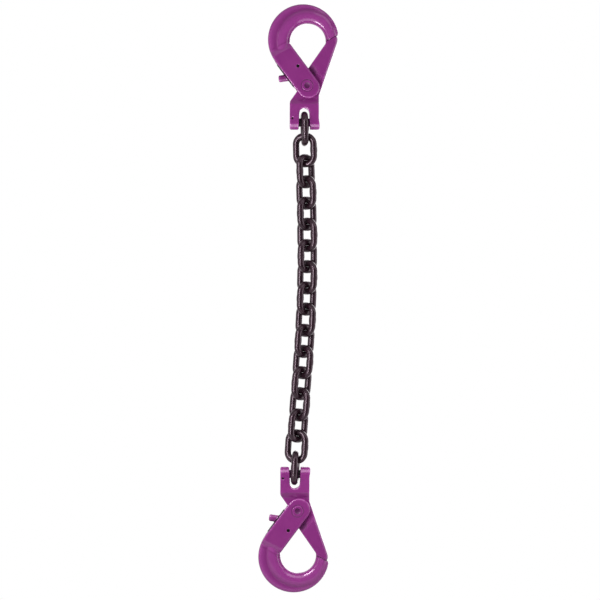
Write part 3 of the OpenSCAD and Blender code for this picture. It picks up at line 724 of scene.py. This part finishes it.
def seen_share(tree):
    """1 for rays from the camera, from a reflection or through glass, and 0 for the light that falls on the object."""
    path = add(tree, "ShaderNodeLightPath").outputs
    most = calc(tree, "MAXIMUM", path["Is Camera Ray"], path["Is Glossy Ray"])
    return calc(tree, "MAXIMUM", most, path["Is Transmission Ray"])


pale, tree, skin = new_finish("pale_floor", Roughness=0.7, Base_Color=(0.86, 0.86, 0.86, 1))
glow = add(tree, "ShaderNodeEmission", Color=(1, 1, 1, 1), Strength=1.0)
share = calc(tree, "MULTIPLY", seen_share(tree), FLOOR_GLOW)
both = add(tree, "ShaderNodeMixShader", i0=share, i1=skin.outputs[0], i2=glow.outputs[0])
tree.links.new(both.outputs[0], tree.nodes["Material Output"].inputs["Surface"])
floor.data.materials.append(pale)


def from_behind(tree):
    """How bright a reflection's surroundings are: white from the backdrop behind the sling, a pale ceiling and floor,
    and a dim room at the sides and on the camera's side. It goes by the ray's own direction in the world."""
    way = add(tree, "ShaderNodeSeparateXYZ", Vector=add(tree, "ShaderNodeTexCoord").outputs["Generated"]).outputs
    backdrop = ramp(tree, way["Y"], 0.2, 0.97, DIM, 1.0)
    ceiling = ramp(tree, calc(tree, "ABSOLUTE", way["Z"]), 0.45, 0.85, DIM, CEILING)
    return calc(tree, "MAXIMUM", backdrop, ceiling)


world = bpy.data.worlds.new("studio")
bpy.context.scene.world = world
world.use_nodes = True
tree = world.node_tree
sky = tree.nodes["Background"]
sky.inputs["Color"].default_value = (1, 1, 1, 1)
sky.inputs["Strength"].default_value = SKY
camera_sees = add(tree, "ShaderNodeLightPath").outputs["Is Camera Ray"]
brightness = calc(tree, "MAXIMUM", camera_sees, from_behind(tree))
white = add(tree, "ShaderNodeBackground", Color=(1, 1, 1, 1), Strength=brightness)
both = add(tree, "ShaderNodeMixShader", i0=seen_share(tree), i1=sky.outputs[0], i2=white.outputs[0])
tree.links.new(both.outputs[0], tree.nodes["World Output"].inputs["Surface"])
print("floor at z", round(lowest - FLOOR_BELOW, 3))

# %% [markdown]
# ## Soft boxes
# The left box is the main light. It is left out of reflections, because its mirror image would whiten whole faces,
# and a narrow strip beside it draws the bright edges instead. Boxes above, on the right and behind fill in. The rest
# reach only some pieces. The photograph's two hooks are one picture, once turned over, so light comes to each from
# the chain's side: near the chain's middle stand a panel for the hooks, one that only the clevises mirror, and a
# lamp for the bright line inside the bowl, once facing up and once down. A tall strip draws the chain's streaks. Two
# lamps in one place hide each other from reflections, so the two panels are a centimetre apart.
# %% Soft boxes
def soft_box(name, at, long, short, watts, aim=(0, 0, -0.41), run=(0, 0, 1)):
    """A lamp at a place, aimed at a point. Its long side lies along run, as nearly as the aim lets it."""
    lamp = bpy.data.lights.new(name, "AREA")
    lamp.shape, lamp.size, lamp.size_y, lamp.energy = "RECTANGLE", long, short, watts
    holder = bpy.data.objects.new(name, lamp)
    bpy.context.scene.collection.objects.link(holder)
    holder.location = at
    back = (mathutils.Vector(at) - mathutils.Vector(aim)).normalized()
    side = mathutils.Vector(run)
    side = (side - back * side.dot(back)).normalized()
    holder.rotation_euler = mathutils.Matrix((side, back.cross(side), back)).transposed().to_euler()
    return holder


lamps = [soft_box("left_box", (-1.5, -1.5, -0.41), 2.6, 1.9, 31),
         soft_box("left_rim", (-2.1, -0.45, -0.41), 2.6, 0.5, 9),
         soft_box("top_box", (0.9, -1.3, 1.1), 1.4, 1.0, 6, (0, 0, 0), (1, 0, 0)),
         soft_box("right_box", (2.0, -0.25, -0.41), 2.6, 1.1, 20),
         soft_box("back_box", (0.7, 2.2, 0.0), 2.6, 1.5, 26)]
lamps[0].visible_glossy = False
lamps[1].visible_diffuse = False


def lit_group(name, pieces):
    """A collection of the pieces that a lamp is to light; the lamp leaves all others dark."""
    group = bpy.data.collections.new(name)
    for piece in pieces:
        group.objects.link(piece)
    return group


hooks = lit_group("hooks", forgings + pins)
clevises = lit_group("clevises", [piece for piece in forgings if "clevis" in piece.name])
chain = lit_group("chain", dressed_links)
x, y = -0.05, -0.28  # the panels stand in front of the chain and face straight up or down
for name, z, hook_z, toward in (("up", -0.43, 0.0, 1), ("down", -0.39, -0.82, -1)):
    panel = soft_box(name + "_panel", (x, y, z), 0.6, 0.4, 1.7, (x, y, hook_z), (1, 0, 0))
    ears = soft_box(name + "_ears", (x, y, z + 0.01 * toward), 0.6, 0.4, 1.8, (x, y, hook_z), (1, 0, 0))
    bead = soft_box(name + "_bead", (-0.25, -0.14, z + 0.06 * toward), 0.25, 0.12, 2.1,
                    (0, 0, hook_z - 0.03 * toward), (0.81, 0, -0.58 * toward))
    for lamp, group in ((panel, hooks), (ears, clevises), (bead, hooks)):
        lamp.light_linking.receiver_collection = group
    ears.visible_diffuse = bead.visible_diffuse = False
    lamps += [panel, ears, bead]
lamps.append(soft_box("chain_strip", (-0.8, -1.3, -0.41), 2.0, 0.25, 34))
lamps[-1].visible_diffuse = False
lamps[-1].light_linking.receiver_collection = chain
for lamp in lamps:
    lamp.visible_camera = False
print("lamps", [lamp.name for lamp in lamps])

# %% [markdown]
# ## Camera
# The photograph shows the sling square from the front, with no visible perspective, so a long lens stands about five
# metres away. The two pivot pins fix it: their distance in the photograph gives the scale, their middle gives the
# aim, and the camera is rolled a little, because the photograph's sling leans where this one hangs plumb.
# %% Camera
PHOTO_SIDE, CAMERA_ROLL = 600, 1.3  # pixels and degrees
pivots = [np.array(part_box(end + "_pivot_pin")).mean(axis=0) for end in ("upper", "lower")]
PHOTO_PIVOTS = np.array([[307.55, 85.9], [297.2, 510.6]])
per_pixel = np.linalg.norm(pivots[0] - pivots[1]) / np.linalg.norm(PHOTO_PIVOTS[0] - PHOTO_PIVOTS[1])
off = (PHOTO_SIDE / 2 - PHOTO_PIVOTS.mean(0)) * per_pixel
middle = (pivots[0] + pivots[1]) / 2 + [off[0], 0, -off[1]]
lens, sensor = 200.0, 36.0
away = PHOTO_SIDE * per_pixel * lens / sensor
eye = bpy.data.objects.new("camera", bpy.data.cameras.new("camera"))
bpy.context.scene.collection.objects.link(eye)
eye.data.lens, eye.data.sensor_width = lens, sensor
eye.location = (middle[0], -away, middle[2])
eye.rotation_mode = "QUATERNION"
roll, half = np.radians(CAMERA_ROLL) / 2, np.sqrt(0.5)
eye.rotation_quaternion = (half * np.cos(roll), half * np.cos(roll), -half * np.sin(roll), half * np.sin(roll))
bpy.context.scene.camera = eye
bpy.context.scene.view_settings.view_transform = "Standard"
print("one pixel is", round(per_pixel / mm, 4), "mm; the camera is", round(away, 3), "m away")
